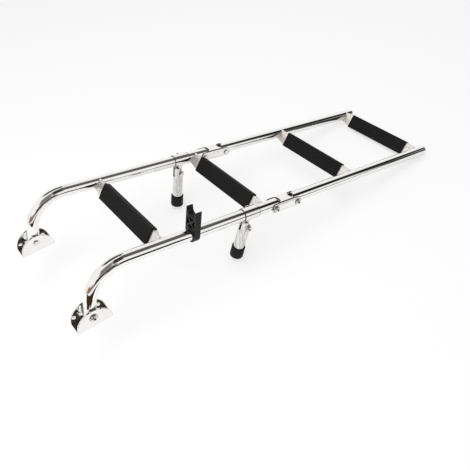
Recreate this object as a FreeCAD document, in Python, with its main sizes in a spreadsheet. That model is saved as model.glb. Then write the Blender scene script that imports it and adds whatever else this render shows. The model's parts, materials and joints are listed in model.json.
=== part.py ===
import FreeCAD, Part
import math
import os
import re
import Sketcher
from FreeCAD import Placement, Rotation, Vector

# Folding boat ladder: two bent upper rails that hang from pivoting deck brackets,
# a lower section on double-pivot fold hinges, four tilted treads with rubber pads,
# two folding stand-off legs and a clip that holds the folded section.
#
# Ladder coordinates: origin at the bracket pins, X along the rails to the tips,
# Y to the left rail, Z away from the hull. The whole ladder is tilted about the
# bracket pins, so that it rests on its two rubber feet and the rail tips while the
# brackets hang with their bases level.

os.makedirs("parts", exist_ok=True)

SIZES = (
    ("overall_length", 870, "outer face of the bracket end to the rail tips"),
    ("rail_spacing", 232, "between the rail centre lines"),
    ("rail_diameter", 22, "tube outside"),
    ("rail_wall", 1.5, "tube wall"),
    ("rail_rise", 85, "rail centre line above the bracket pins"),
    ("rail_heel", 9, "tube end past the bracket pin"),
    ("bend_radius", 63, "centre line of the bend"),
    ("bend_angle", 86, "turn of the bend in degrees"),
    ("bracket_length", 63, "base of the deck bracket"),
    ("bracket_plate", 3, "sheet of the deck bracket"),
    ("bracket_play", 0.4, "each side between the tube and the cheeks"),
    ("bracket_corner", 2.4, "outside bend of the bracket sheet"),
    ("bracket_shoulder", 3, "height where the round of the cheek starts"),
    ("bracket_pin_height", 20.5, "pin above the deck"),
    ("bracket_hole", 7.5, "screw holes in the base"),
    ("outer_hole_pitch", 45, "between the outer screw holes"),
    ("inner_hole_pitch", 19, "between the inner screw holes"),
    ("pin_diameter", 6, "all pivot screws"),
    ("pin_play", 0.05, "round a pivot screw, each side"),
    ("pin_head", 12, "domed head of the hinge and leg screws"),
    ("bracket_pin_head", 13, "domed head of the bracket screws"),
    ("pin_head_rise", 4.2, "height of the domed head"),
    ("pin_washer", 1, "washer under the head"),
    ("washer_lip", 0.6, "washer past the head"),
    ("pin_nut", 10, "low round nut"),
    ("pin_nut_rise", 2.2, "height of the nut"),
    ("pin_nut_edge", 0.7, "chamfer of the nut"),
    ("pin_socket", 4, "across the flats of the socket"),
    ("pin_socket_depth", 1.8, "depth of the socket"),
    ("hinge_x", 382, "first fold pin along the rails"),
    ("hinge_pitch", 55, "between the two fold pins"),
    ("hinge_drop", 3, "fold pins below the rail centre line"),
    ("link_play", 0.5, "each side between the tube and the link"),
    ("link_plate", 2, "sheet of the hinge link"),
    ("link_end", 9, "round end of the link about its pin"),
    ("link_skirt", 7, "cheeks of the link below its pins"),
    ("link_web_end", 3.4, "web of the link past its pins"),
    ("link_web_top", 8.5, "link web above the rail centre line"),
    ("link_corner", 6, "outside bend of the link sheet"),
    ("web_play", 0.5, "between the folded tube and the link web"),
    ("rail_nose", 15.2, "round end of the tube about the fold pin"),
    ("nose_offset", 2.5, "centre of the round tube end in plan, past the fold pin"),
    ("plug_reach", 20, "hinge plug past the fold pin"),
    ("plug_depth", 24, "hinge plug inside the tube from the fold pin"),
    ("plug_play", 0.1, "round the plug in the tube"),
    ("stop_play", 0.3, "between the plug and the link web"),
    ("leg_x", 321.5, "leg pin along the rails"),
    ("leg_drop", 29.6, "leg pin below the rail centre line"),
    ("leg_length", 81.4, "leg pin to the foot"),
    ("leg_diameter", 22, "leg tube outside"),
    ("leg_wall", 1.5, "leg tube wall"),
    ("leg_crown", 15, "raised heel of the leg tube about its pin, towards the bracket"),
    ("leg_heel", 3, "heel ends short of the leg pin"),
    ("leg_ear", 8, "round ears of the leg tube about its pin"),
    ("leg_boss", 14, "flat boss round the leg pin"),
    ("leg_boss_rise", 0.8, "boss proud of the leg tube"),
    ("leg_fork", 18, "solid fork end of the leg tube below its pin"),
    ("leg_slot", 4.6, "slot in the leg tube"),
    ("leg_slot_depth", 8, "slot below the leg pin"),
    ("leg_lean", 9.5, "right leg turned inwards about its rail in degrees"),
    ("tongue_plate", 4, "tongue of the leg tee"),
    ("tongue_end", 7, "round end of the tongue"),
    ("sleeve_wall", 1.5, "leg tee round the rail"),
    ("sleeve_play", 0.1, "between the sleeve and the rail"),
    ("sleeve_back", 14.5, "sleeve from the leg pin towards the bracket"),
    ("sleeve_front", 20, "sleeve from the leg pin towards the tips"),
    ("screw_diameter", 4, "set screw of the sleeve"),
    ("screw_head", 6.5, "head of the set screw"),
    ("screw_head_rise", 2, "head height of the set screw"),
    ("screw_turn", 50, "set screw about the rail from upright in degrees"),
    ("cap_diameter", 27, "rubber foot outside"),
    ("cap_height", 25, "rubber foot"),
    ("cap_floor", 4, "rubber under the leg tube"),
    ("cap_play", 0.1, "between the rubber foot and the leg tube"),
    ("cap_edge", 1.5, "rounded edge of the rubber foot"),
    ("tread_one_x", 130.5, "first tread along the rails"),
    ("tread_two_x", 352.2, "second tread"),
    ("tread_three_x", 602.3, "third tread"),
    ("last_tread_back", 28.4, "fourth tread back from the rail tips"),
    ("tread_drop", 1.9, "tread face centre below the rail centre line"),
    ("tread_tilt", 26, "tread face from square to the rails in degrees"),
    ("tread_width", 28.6, "steel tread across its face"),
    ("tread_depth", 10, "flanges of the steel tread"),
    ("tread_plate", 1.8, "sheet of the steel tread"),
    ("tread_taper", 2, "full width kept past the pad end"),
    ("tread_inset", 6, "tread ends short of the rail centre lines"),
    ("tread_end", 9, "half height of the tread at the rails"),
    ("tread_end_depth", 5, "upper flange of the tread at the rails"),
    ("tread_corner", 12, "length of the sloping cut in the upper flange"),
    ("weld_gap", 0.1, "between a tread end and its rail"),
    ("pad_length", 168.6, "rubber pad"),
    ("pad_face", 3, "rubber on the tread face"),
    ("pad_lip", 2, "rubber round the tread edges"),
    ("pad_wrap", 9, "lips behind the tread face"),
    ("pad_play", 0.1, "between the pad and the tread"),
    ("pad_edge", 1.2, "rounded front edges of the pad"),
    ("clip_x", 197.2, "storage clip along the rails"),
    ("clip_width", 12, "storage clip along the rail"),
    ("clip_wall", 3.2, "plastic round the rails"),
    ("clip_play", 0.1, "round the rail that carries the clip"),
    ("jaw_play", 0.4, "round the folded rail"),
    ("jaw_rise", 1.5, "prongs above the folded rail centre line"),
    ("jaw_flare", 0.8, "mouth of the jaw wider on each side"),
    ("clip_hook_angle", 86, "hook under the rail, below level, in degrees"),
    ("clip_back_angle", 20, "back of the clip ring above level in degrees"),
    ("clip_recess", 4, "pockets between the clip ribs"),
    ("clip_rib", 2.4, "ribs of the clip"),
    ("end_plug_length", 12, "plug in the rail tip"),
    ("end_plug_recess", 0.5, "plug face inside the tube end"),
    ("end_plug_play", 0.1, "round the plug in the rail tip"),
    ("cut_margin", 2, "cuts run past a face"),
    ("cut_reach", 80, "half length of a cut right through"),
)

doc = FreeCAD.newDocument("FoldingBoatLadder")
sheet = doc.addObject("Spreadsheet::Sheet", "Sizes")
for row, (alias, number, note) in enumerate(SIZES, start=1):
    sheet.set(f"A{row}", note)
    sheet.set(f"B{row}", str(number))
    sheet.setAlias(f"B{row}", alias)
doc.recompute()

ALIASES = {alias for alias, number, note in SIZES}
RAIL_R = "rail_diameter / 2"
HINGE_GRIP = f"({RAIL_R} + link_play + link_plate)"
BRACKET_GRIP = f"({RAIL_R} + bracket_play + bracket_plate)"
LEG_GRIP = "(leg_diameter / 2 + leg_boss_rise)"
SUBPARTS = []


def bound(text):
    """The expression with each size written as a cell of the sheet."""
    return re.sub(r"[a-z_]+", lambda word: "Sizes." + word.group() if word.group() in ALIASES else word.group(), text)


def value(text):
    return float(sheet.evalExpression(bound(text)))


def new_body(label):
    body = doc.addObject("PartDesign::Body", label)
    body.Label = label
    SUBPARTS.append(body)
    return body


def new_sketch(body, plane_role, offset="0"):
    """An empty sketch on one of the body's own origin planes, moved along its normal."""
    sketch = body.newObject("Sketcher::SketchObject", body.Label + "_sketch")
    plane = next(feature for feature in body.Origin.OriginFeatures if feature.Role == plane_role)
    sketch.AttachmentSupport = [(plane, "")]
    sketch.MapMode = "FlatFace"
    sketch.AttachmentOffset = Placement(Vector(0, 0, value(offset)), Rotation())
    sketch.setExpression("AttachmentOffset.Base.z", bound(offset))
    return sketch


def place_point(sketch, geometry, point, x_text, y_text):
    """Fix a point of the sketch at two expressions."""
    for kind, text in (("DistanceX", x_text), ("DistanceY", y_text)):
        index = sketch.addConstraint(Sketcher.Constraint(kind, -1, 1, geometry, point, value(text)))
        sketch.setExpression(f"Constraints[{index}]", bound(text))


def add_circle(sketch, x_text, y_text, radius_text):
    centre = Vector(value(x_text), value(y_text), 0)
    index = sketch.addGeometry(Part.Circle(centre, Vector(0, 0, 1), value(radius_text)))
    place_point(sketch, index, 3, x_text, y_text)
    limit = sketch.addConstraint(Sketcher.Constraint("Radius", index, value(radius_text)))
    sketch.setExpression(f"Constraints[{limit}]", bound(radius_text))


def add_outline(sketch, corners, closed=True):
    """Lines and arcs through the corners.

    A corner is (x, y) where a straight edge arrives and (x, y, centre_x, centre_y, turn)
    where an arc arrives, with turn +1 for anticlockwise and -1 for clockwise.
    """
    count = len(corners)
    ends = []
    for here in range(count if closed else count - 1):
        start = corners[here]
        goal = corners[(here + 1) % count]
        first = Vector(value(start[0]), value(start[1]), 0)
        last = Vector(value(goal[0]), value(goal[1]), 0)
        if len(goal) == 2:
            index = sketch.addGeometry(Part.LineSegment(first, last))
            ends.append((index, 1, 2, start, goal))
            continue
        centre = Vector(value(goal[2]), value(goal[3]), 0)
        low, high = (first, last) if goal[4] > 0 else (last, first)
        circle = Part.Circle(centre, Vector(0, 0, 1), (first - centre).Length)
        low_angle = math.atan2(low.y - centre.y, low.x - centre.x)
        high_angle = math.atan2(high.y - centre.y, high.x - centre.x)
        index = sketch.addGeometry(Part.ArcOfCircle(circle, low_angle, high_angle))
        ends.append((index, 1, 2, start, goal) if goal[4] > 0 else (index, 2, 1, start, goal))
        across = abs(last.x - first.x) < abs(last.y - first.y)
        kind, text = ("DistanceX", goal[2]) if across else ("DistanceY", goal[3])
        limit = sketch.addConstraint(Sketcher.Constraint(kind, -1, 1, index, 3, value(text)))
        sketch.setExpression(f"Constraints[{limit}]", bound(text))
    for place, (index, start_point, end_point, start, goal) in enumerate(ends):
        place_point(sketch, index, start_point, start[0], start[1])
        following = ends[(place + 1) % len(ends)]
        if closed or place + 1 < len(ends):
            sketch.addConstraint(Sketcher.Constraint("Coincident", index, end_point, following[0], following[1]))
        else:
            place_point(sketch, index, end_point, goal[0], goal[1])


def add_box(sketch, left, bottom, right, top):
    add_outline(sketch, [(left, bottom), (right, bottom), (right, top), (left, top)])


def add_feature(body, kind, sketch, length, symmetric, reverse):
    feature = body.newObject("PartDesign::" + kind, body.Label + "_" + kind.lower())
    feature.Profile = sketch
    feature.SideType = "Symmetric" if symmetric else "One side"
    feature.Reversed = reverse
    feature.Length = value(length)
    feature.setExpression("Length", bound(length))
    return feature


def pad(body, sketch, length, symmetric=True, reverse=False):
    return add_feature(body, "Pad", sketch, length, symmetric, reverse)


def cut(body, sketch, length="2 * cut_reach", symmetric=True, reverse=False):
    """A pocket that has to take material away."""
    doc.recompute()
    before = body.Shape.Volume
    feature = add_feature(body, "Pocket", sketch, length, symmetric, reverse)
    doc.recompute()
    if body.Shape.Volume > before - 0.01:
        raise RuntimeError(f"{feature.Name} removes nothing")
    return feature


def fillet(body, edges, radius):
    base = body.Tip
    feature = body.newObject("PartDesign::Fillet", body.Label + "_fillet")
    feature.Base = (base, edges)
    feature.Radius = value(radius)
    feature.setExpression("Radius", bound(radius))
    return feature


def edges_where(body, test):
    """Names of the edges whose points all pass the test."""
    doc.recompute()
    return [f"Edge{number}" for number, edge in enumerate(body.Shape.Edges, start=1)
            if all(test(point) for point in edge.discretize(5))]


def near(first, second):
    return abs(first - second) < 1e-4


# The rest pose: feet and tips on one floor, seen from the side.
TIP_X = value("overall_length - rail_diameter / 2")
FOOT_X = value("leg_x + cap_diameter / 2")
FOOT_Z = value("rail_rise - leg_drop - leg_length")
TIP_Z = value("rail_rise - rail_diameter / 2")
TILT = math.degrees(math.atan2(TIP_Z - FOOT_Z, TIP_X - FOOT_X))
LADDER = Placement(Vector(0, 0, value("bracket_pin_height")), Rotation(Vector(0, 1, 0), TILT))


def on_ladder(x, y, z, turn=Rotation()):
    """Placement of a body whose own frame sits at a point of the ladder."""
    return LADDER * Placement(Vector(x, y, z), turn)


def drill(body, x_text, z_text):
    """A round hole along Y with running room for a pin."""
    sketch = new_sketch(body, "XZ_Plane")
    add_circle(sketch, x_text, z_text, "pin_diameter / 2 + pin_play")
    cut(body, sketch)


def trim_nose(body, pin_x, direction):
    """Round the end of a rail tube about its fold pin; direction +1 for an end towards +X."""
    low = f"{RAIL_R} - hinge_drop"
    high = f"{RAIL_R} + hinge_drop"
    sign = "+" if direction > 0 else "-"
    pin_z = "rail_rise - hinge_drop"
    sketch = new_sketch(body, "XZ_Plane")
    add_outline(sketch, [
        (f"{pin_x} {sign} (rail_nose + cut_margin)", f"{pin_z} - ({low})"),
        (f"{pin_x} {sign} (rail_nose + cut_margin)", f"{pin_z} + {high}"),
        (f"{pin_x} {sign} sqrt(rail_nose ^ 2 - ({high}) ^ 2)", f"{pin_z} + {high}"),
        (f"{pin_x} {sign} sqrt(rail_nose ^ 2 - ({low}) ^ 2)", f"{pin_z} - ({low})",
         pin_x, pin_z, -direction),
    ])
    cut(body, sketch)
    round_r = f"({RAIL_R} + web_play / 2)"
    middle = f"{pin_x} {sign} nose_offset"
    far = f"{pin_x} {sign} (rail_nose + cut_margin)"
    plan = new_sketch(body, "XY_Plane", "rail_rise")
    add_outline(plan, [
        (middle, f"{round_r} + cut_margin"),
        (far, f"{round_r} + cut_margin"),
        (far, f"-{round_r} - cut_margin"),
        (middle, f"-{round_r} - cut_margin"),
        (middle, f"-{round_r}"),
        (middle, round_r, middle, "0", direction),
    ])
    cut(body, plan)


def make_upper_rail(label, side):
    """Bent tube from the bracket pin over the bend to the first fold pin."""
    body = new_body(label)
    bend_x = ("(bend_radius * sin(bend_angle)"
              " + (rail_rise - bend_radius + bend_radius * cos(bend_angle)) / tan(bend_angle))")
    straight = "(rail_rise - bend_radius + bend_radius * cos(bend_angle)) / sin(bend_angle)"
    end_x = "hinge_x + rail_nose"
    path = new_sketch(body, "XZ_Plane")
    add_outline(path, [
        (end_x, "rail_rise"),
        (bend_x, "rail_rise"),
        (f"{bend_x} - bend_radius * sin(bend_angle)",
         "rail_rise - bend_radius + bend_radius * cos(bend_angle)",
         bend_x, "rail_rise - bend_radius", 1),
        (f"{bend_x} - bend_radius * sin(bend_angle) - ({straight} + rail_heel) * cos(bend_angle)",
         f"rail_rise - bend_radius + bend_radius * cos(bend_angle) - ({straight} + rail_heel) * sin(bend_angle)"),
    ], closed=False)
    ring = new_sketch(body, "YZ_Plane", end_x)
    add_circle(ring, "0", "rail_rise", RAIL_R)
    add_circle(ring, "0", "rail_rise", f"{RAIL_R} - rail_wall")
    pipe = body.newObject("PartDesign::AdditivePipe", label + "_pipe")
    pipe.Profile = ring
    pipe.Spine = (path, [f"Edge{number}" for number in (1, 2, 3)])
    trim_nose(body, "hinge_x", 1)
    drill(body, "0", "0")
    drill(body, "hinge_x", "rail_rise - hinge_drop")
    body.Placement = on_ladder(0, side * value("rail_spacing / 2"), 0)


def make_lower_rail(label, side):
    """Straight tube from the second fold pin to the tip."""
    body = new_body(label)
    start = "hinge_x + hinge_pitch - rail_nose"
    ring = new_sketch(body, "YZ_Plane", start)
    add_circle(ring, "0", "rail_rise", RAIL_R)
    add_circle(ring, "0", "rail_rise", f"{RAIL_R} - rail_wall")
    pad(body, ring, f"overall_length - {RAIL_R} - ({start})", symmetric=False)
    trim_nose(body, "(hinge_x + hinge_pitch)", -1)
    drill(body, "hinge_x + hinge_pitch", "rail_rise - hinge_drop")
    body.Placement = on_ladder(0, side * value("rail_spacing / 2"), 0)


def make_end_plug(label, side):
    body = new_body(label)
    disc = new_sketch(body, "YZ_Plane")
    add_circle(disc, "0", "0", f"{RAIL_R} - rail_wall - end_plug_play")
    pad(body, disc, "end_plug_length", symmetric=False)
    face = value(f"overall_length - {RAIL_R} - end_plug_recess - end_plug_length")
    body.Placement = on_ladder(face, side * value("rail_spacing / 2"), value("rail_rise"))


def make_hinge_plug(label, side, pin_x, direction):
    """Solid end of a rail tube; its flat top bears on the link web and stops the hinge at straight."""
    body = new_body(label)
    radius = f"({RAIL_R} - rail_wall - plug_play)"
    flat = "(link_web_top - link_plate - stop_play)"
    half = f"sqrt({radius} ^ 2 - {flat} ^ 2)"
    face = new_sketch(body, "YZ_Plane", "-plug_depth" if direction > 0 else "-plug_reach")
    add_outline(face, [(half, flat), (f"-({half})", flat, "0", "0", -1)])
    pad(body, face, "plug_depth + plug_reach", symmetric=False)
    drill(body, "0", "-hinge_drop")
    body.Placement = on_ladder(value(pin_x), side * value("rail_spacing / 2"), value("rail_rise"))


def make_hinge_link(label, side):
    """Channel that carries both fold pins; its web keeps the ladder from folding back to the hull."""
    body = new_body(label)
    rise = "(link_web_top + hinge_drop)"
    half_skirt = "sqrt(link_end ^ 2 - link_skirt ^ 2)"
    outer = f"({RAIL_R} + link_play + link_plate)"
    inner = f"({RAIL_R} + link_play)"
    cheeks = new_sketch(body, "XZ_Plane")
    add_outline(cheeks, [
        (f"-({half_skirt})", "-link_skirt", "0", "0", 1),
        (f"hinge_pitch + {half_skirt}", "-link_skirt"),
        ("hinge_pitch + link_end", "0", "hinge_pitch", "0", 1),
        ("hinge_pitch + link_web_end", rise),
        ("-link_web_end", rise),
        ("-link_end", "0"),
    ])
    pad(body, cheeks, f"2 * {outer}")
    fillet(body, edges_where(body, lambda p: near(p.z, value(rise)) and near(abs(p.y), value(outer))), "link_corner")
    bend = "(link_corner - link_plate)"
    under = f"({rise} - link_plate)"
    channel = new_sketch(body, "YZ_Plane", "hinge_pitch / 2")
    add_outline(channel, [
        (f"-{inner}", "-link_skirt - cut_margin"),
        (inner, "-link_skirt - cut_margin"),
        (inner, f"{under} - {bend}"),
        (f"{inner} - {bend}", under, f"{inner} - {bend}", f"{under} - {bend}", 1),
        (f"-{inner} + {bend}", under),
        (f"-{inner}", f"{under} - {bend}", f"-{inner} + {bend}", f"{under} - {bend}", 1),
    ])
    cut(body, channel)
    notch = "(hinge_drop + web_play)"
    slots = new_sketch(body, "XY_Plane")
    add_outline(slots, [
        ("-link_end - cut_margin", inner),
        ("-link_end - cut_margin", f"-{inner}"),
        (notch, f"-{inner}"),
        (notch, inner, notch, "0", 1),
    ])
    add_outline(slots, [
        ("hinge_pitch + link_end + cut_margin", f"-{inner}"),
        ("hinge_pitch + link_end + cut_margin", inner),
        (f"hinge_pitch - {notch}", inner),
        (f"hinge_pitch - {notch}", f"-{inner}", f"hinge_pitch - {notch}", "0", 1),
    ])
    cut(body, slots)
    drill(body, "0", "0")
    drill(body, "hinge_pitch", "0")
    body.Placement = on_ladder(value("hinge_x"), side * value("rail_spacing / 2"), value("rail_rise - hinge_drop"))


def make_pin(label, side, grip, head, placement):
    """Domed socket screw with a washer and a low round nut, its head on the outer side of the ladder;
    grip is half the width that it clamps."""
    body = new_body(label)
    dome = f"((({head}) / 2) ^ 2 + pin_head_rise ^ 2) / (2 * pin_head_rise)"
    seat = f"{grip} + pin_washer"
    profile = new_sketch(body, "YZ_Plane")
    add_outline(profile, [
        (f"-({seat}) - pin_head_rise", "0", f"-({seat}) - pin_head_rise + {dome}", "0", 1),
        (f"{grip} + pin_nut_rise", "0"),
        (f"{grip} + pin_nut_rise", "pin_nut / 2 - pin_nut_edge"),
        (f"{grip} + pin_nut_rise - pin_nut_edge", "pin_nut / 2"),
        (grip, "pin_nut / 2"),
        (grip, "pin_diameter / 2"),
        (f"-{grip}", "pin_diameter / 2"),
        (f"-{grip}", f"({head}) / 2 + washer_lip"),
        (f"-({seat})", f"({head}) / 2 + washer_lip"),
        (f"-({seat})", f"({head}) / 2"),
    ])
    turned = body.newObject("PartDesign::Revolution", label + "_turned")
    turned.Profile = profile
    turned.ReferenceAxis = (profile, ["H_Axis"])
    socket = new_sketch(body, "XZ_Plane", f"{seat} + pin_head_rise")
    add_outline(socket, [
        (f"pin_socket / sqrt(3) * cos({60 * corner})", f"pin_socket / sqrt(3) * sin({60 * corner})")
        for corner in range(6)
    ])
    cut(body, socket, "pin_socket_depth", symmetric=False)
    body.Placement = placement * Placement(Vector(), Rotation(Vector(0, 0, 1), 180 if side > 0 else 0))


def make_bracket(label, side):
    """Deck bracket: one sheet bent to two half-moon cheeks and a base with screw holes."""
    body = new_body(label)
    half = "(bracket_length / 2)"
    base = "(-bracket_pin_height)"
    inner = f"({RAIL_R} + bracket_play)"
    outer = f"({RAIL_R} + bracket_play + bracket_plate)"
    cheeks = new_sketch(body, "XZ_Plane")
    add_outline(cheeks, [
        (f"-{half}", base),
        (half, base),
        (half, f"{base} + bracket_shoulder"),
        (f"-{half}", f"{base} + bracket_shoulder", "0", f"{base} + bracket_shoulder", 1),
    ])
    pad(body, cheeks, f"2 * {outer}")
    fillet(body, edges_where(body, lambda p: near(p.z, value(base)) and near(abs(p.y), value(outer))), "bracket_corner")
    channel = new_sketch(body, "YZ_Plane")
    add_box(channel, f"-{inner}", f"{base} + bracket_plate", inner, f"{half} + cut_margin")
    cut(body, channel)
    holes = new_sketch(body, "XY_Plane")
    for pitch in ("outer_hole_pitch", "inner_hole_pitch"):
        for sign in ("", "-"):
            add_circle(holes, f"{sign}{pitch} / 2", "0", "bracket_hole / 2")
    cut(body, holes)
    drill(body, "0", "0")
    body.Placement = Placement(Vector(0, side * value("rail_spacing / 2"), value("bracket_pin_height")), Rotation())


def leg_turn(side):
    """Turn of a leg tee about its rail."""
    return Rotation(Vector(1, 0, 0), value("leg_lean") if side < 0 else 0)


def on_leg(side, x, z, turn=Rotation()):
    """Placement in the frame of a leg tee, whose origin is on the rail centre line above the leg pin."""
    tee = on_ladder(value("leg_x"), side * value("rail_spacing / 2"), value("rail_rise"), leg_turn(side))
    return tee * Placement(Vector(x, 0, z), turn)


def make_leg_tee(label, side):
    """Sleeve clamped on the rail, with a tongue that flares into it."""
    body = new_body(label)
    sleeve_r = f"({RAIL_R} + sleeve_play + sleeve_wall)"
    sleeve = new_sketch(body, "YZ_Plane", "-sleeve_back")
    add_circle(sleeve, "0", "0", sleeve_r)
    pad(body, sleeve, "sleeve_back + sleeve_front", symmetric=False)
    tongue = new_sketch(body, "XZ_Plane")
    add_outline(tongue, [
        ("-tongue_end", "0"),
        ("-tongue_end", "-leg_drop"),
        ("tongue_end", "-leg_drop", "0", "-leg_drop", 1),
        ("tongue_end", "-leg_drop + tongue_end"),
        ("sleeve_front", "-leg_drop + sleeve_front", "sleeve_front", "-leg_drop + tongue_end", -1),
        ("sleeve_front", "0"),
    ])
    pad(body, tongue, "tongue_plate")
    bore = new_sketch(body, "YZ_Plane")
    add_circle(bore, "0", "0", f"{RAIL_R} + sleeve_play")
    cut(body, bore)
    drill(body, "0", "-leg_drop")
    hole = new_sketch(body, "XY_Plane")
    hole.AttachmentOffset = Placement(Vector(), Rotation(Vector(1, 0, 0), -value("screw_turn")))
    add_circle(hole, "(sleeve_front - sleeve_back) / 2", "0", "screw_diameter / 2 + pin_play")
    cut(body, hole, f"{sleeve_r} + cut_margin", symmetric=False, reverse=True)
    body.Placement = on_leg(side, 0, 0)


def make_set_screw(label, side):
    """Small screw that locks the sleeve on the rail."""
    body = new_body(label)
    seat = f"({RAIL_R} + sleeve_play + sleeve_wall)"
    profile = new_sketch(body, "XZ_Plane")
    add_outline(profile, [
        ("0", f"{RAIL_R} + sleeve_play"),
        ("screw_diameter / 2", f"{RAIL_R} + sleeve_play"),
        ("screw_diameter / 2", seat),
        ("screw_head / 2", seat),
        ("screw_head / 2", f"{seat} + screw_head_rise / 2"),
        ("screw_diameter / 2", f"{seat} + screw_head_rise"),
        ("0", f"{seat} + screw_head_rise"),
    ])
    turned = body.newObject("PartDesign::Revolution", label + "_turned")
    turned.Profile = profile
    turned.ReferenceAxis = (profile, ["V_Axis"])
    body.Placement = on_leg(side, value("(sleeve_front - sleeve_back) / 2"), 0,
                            Rotation(Vector(1, 0, 0), -value("screw_turn")))


def make_leg_tube(label, side):
    """Tube with a solid fork end. Its ears turn on the pin beside the tongue, and its heel rises on the
    bracket side; the slot lets it fold up along the rail."""
    body = new_body(label)
    radius = "(leg_diameter / 2)"
    ring = new_sketch(body, "XY_Plane", "-leg_fork")
    add_circle(ring, "0", "0", radius)
    add_circle(ring, "0", "0", f"{radius} - leg_wall")
    pad(body, ring, "leg_length - cap_floor - leg_fork", symmetric=False, reverse=True)
    fork = new_sketch(body, "XY_Plane", "-leg_fork")
    add_circle(fork, "0", "0", radius)
    pad(body, fork, "leg_fork + leg_crown", symmetric=False)
    boss = new_sketch(body, "XZ_Plane")
    add_circle(boss, "0", "0", "leg_boss / 2")
    pad(body, boss, f"2 * {LEG_GRIP}")
    heel_edge = f"sqrt(leg_crown ^ 2 - {radius} ^ 2)"
    crown = new_sketch(body, "XZ_Plane")
    add_outline(crown, [
        (f"{radius} + cut_margin", "0"),
        (f"{radius} + cut_margin", "leg_crown + cut_margin"),
        (f"-{radius} - cut_margin", "leg_crown + cut_margin"),
        (f"-{radius} - cut_margin", heel_edge),
        (f"-{radius}", heel_edge),
        ("-leg_heel", "sqrt(leg_crown ^ 2 - leg_heel ^ 2)", "0", "0", -1),
        ("-leg_heel", "sqrt(leg_ear ^ 2 - leg_heel ^ 2)"),
        ("leg_ear", "0", "0", "0", -1),
    ])
    cut(body, crown)
    slot = new_sketch(body, "YZ_Plane")
    add_box(slot, "-leg_slot / 2", "-leg_slot_depth", "leg_slot / 2", "leg_crown + cut_margin")
    cut(body, slot)
    drill(body, "0", "0")
    body.Placement = on_leg(side, 0, -value("leg_drop"))


def make_leg_cap(label, side):
    """Rubber foot: a cup over the end of the leg tube."""
    body = new_body(label)
    bore = "(leg_diameter / 2 + cap_play)"
    profile = new_sketch(body, "XZ_Plane")
    add_outline(profile, [
        ("0", "0"),
        ("cap_diameter / 2 - cap_edge", "0"),
        ("cap_diameter / 2", "cap_edge", "cap_diameter / 2 - cap_edge", "cap_edge", 1),
        ("cap_diameter / 2", "cap_height"),
        (bore, "cap_height"),
        (bore, "cap_floor"),
        ("0", "cap_floor"),
    ])
    turned = body.newObject("PartDesign::Revolution", label + "_turned")
    turned.Profile = profile
    turned.ReferenceAxis = (profile, ["V_Axis"])
    body.Placement = on_leg(side, 0, -value("leg_drop + leg_length"))


def tilted(along, out):
    """A point of the tread section: along its face upwards and out of its face."""
    return (f"({along}) * sin(tread_tilt) - ({out}) * cos(tread_tilt)",
            f"({along}) * cos(tread_tilt) + ({out}) * sin(tread_tilt) - tread_drop")


def make_tread(label, place):
    """Bent steel channel between the rails, narrower where it is welded to them."""
    body = new_body(label)
    half = "tread_width / 2"
    section = new_sketch(body, "XZ_Plane")
    add_outline(section, [
        tilted(f"-{half}", "0"),
        tilted(f"-{half}", "-tread_depth"),
        tilted(f"-{half} + tread_plate", "-tread_depth"),
        tilted(f"-{half} + tread_plate", "-tread_plate"),
        tilted(f"{half} - tread_plate", "-tread_plate"),
        tilted(f"{half} - tread_plate", "-tread_depth"),
        tilted(half, "-tread_depth"),
        tilted(half, "0"),
    ])
    pad(body, section, "rail_spacing - 2 * tread_inset")
    rails = new_sketch(body, "YZ_Plane")
    for sign in ("", "-"):
        add_circle(rails, f"{sign}rail_spacing / 2", "0", f"{RAIL_R} + weld_gap")
    cut(body, rails)
    taper_start = "(pad_length / 2 + tread_taper)"
    taper_end = "(rail_spacing / 2 - tread_inset + cut_margin)"
    reach = "(tread_width / 2 + tread_depth)"
    tapers = new_sketch(body, "YZ_Plane")
    for sign in ("", "-"):
        for up in ("", "-"):
            add_outline(tapers, [
                (f"{sign}{taper_start}", f"{up}(tread_width / 2)"),
                (f"{sign}{taper_end}", f"{up}tread_end"),
                (f"{sign}{taper_end}", f"{up}{reach}"),
                (f"{sign}{taper_start}", f"{up}{reach}"),
            ])
    cut(body, tapers)
    flange_x = "tread_width / 2 * sin(tread_tilt) + tread_depth * cos(tread_tilt) + cut_margin"
    clear_x = "tread_end * sin(tread_tilt) + tread_end_depth * cos(tread_tilt)"
    corners = new_sketch(body, "XY_Plane")
    for sign in ("", "-"):
        add_outline(corners, [
            (flange_x, f"{sign}{taper_start}"),
            (clear_x, f"{sign}({taper_start} + tread_corner)"),
            (clear_x, f"{sign}{taper_end}"),
            (flange_x, f"{sign}{taper_end}"),
        ])
    cut(body, corners)
    body.Placement = on_ladder(value(place), 0, value("rail_rise"))


def make_tread_pad(label, place):
    """Rubber cover on the tread face, with a lip round each edge."""
    body = new_body(label)
    inner = "(tread_width / 2 + pad_play)"
    outer = "(tread_width / 2 + pad_play + pad_lip)"
    section = new_sketch(body, "XZ_Plane")
    add_outline(section, [
        tilted(f"-{outer}", "pad_face"),
        tilted(f"-{outer}", "-pad_wrap"),
        tilted(f"-{inner}", "-pad_wrap"),
        tilted(f"-{inner}", "pad_play"),
        tilted(inner, "pad_play"),
        tilted(inner, "-pad_wrap"),
        tilted(outer, "-pad_wrap"),
        tilted(outer, "pad_face"),
    ])
    pad(body, section, "pad_length")
    corners = [tilted(f"{sign}{outer}", "pad_face") for sign in ("", "-")]
    spots = [(value(x_text), value(z_text)) for x_text, z_text in corners]
    edges = edges_where(body, lambda p: any(near(p.x, x) and near(p.z, z) for x, z in spots))
    fillet(body, edges, "pad_edge")
    body.Placement = on_ladder(value(place), 0, value("rail_rise"))


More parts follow.
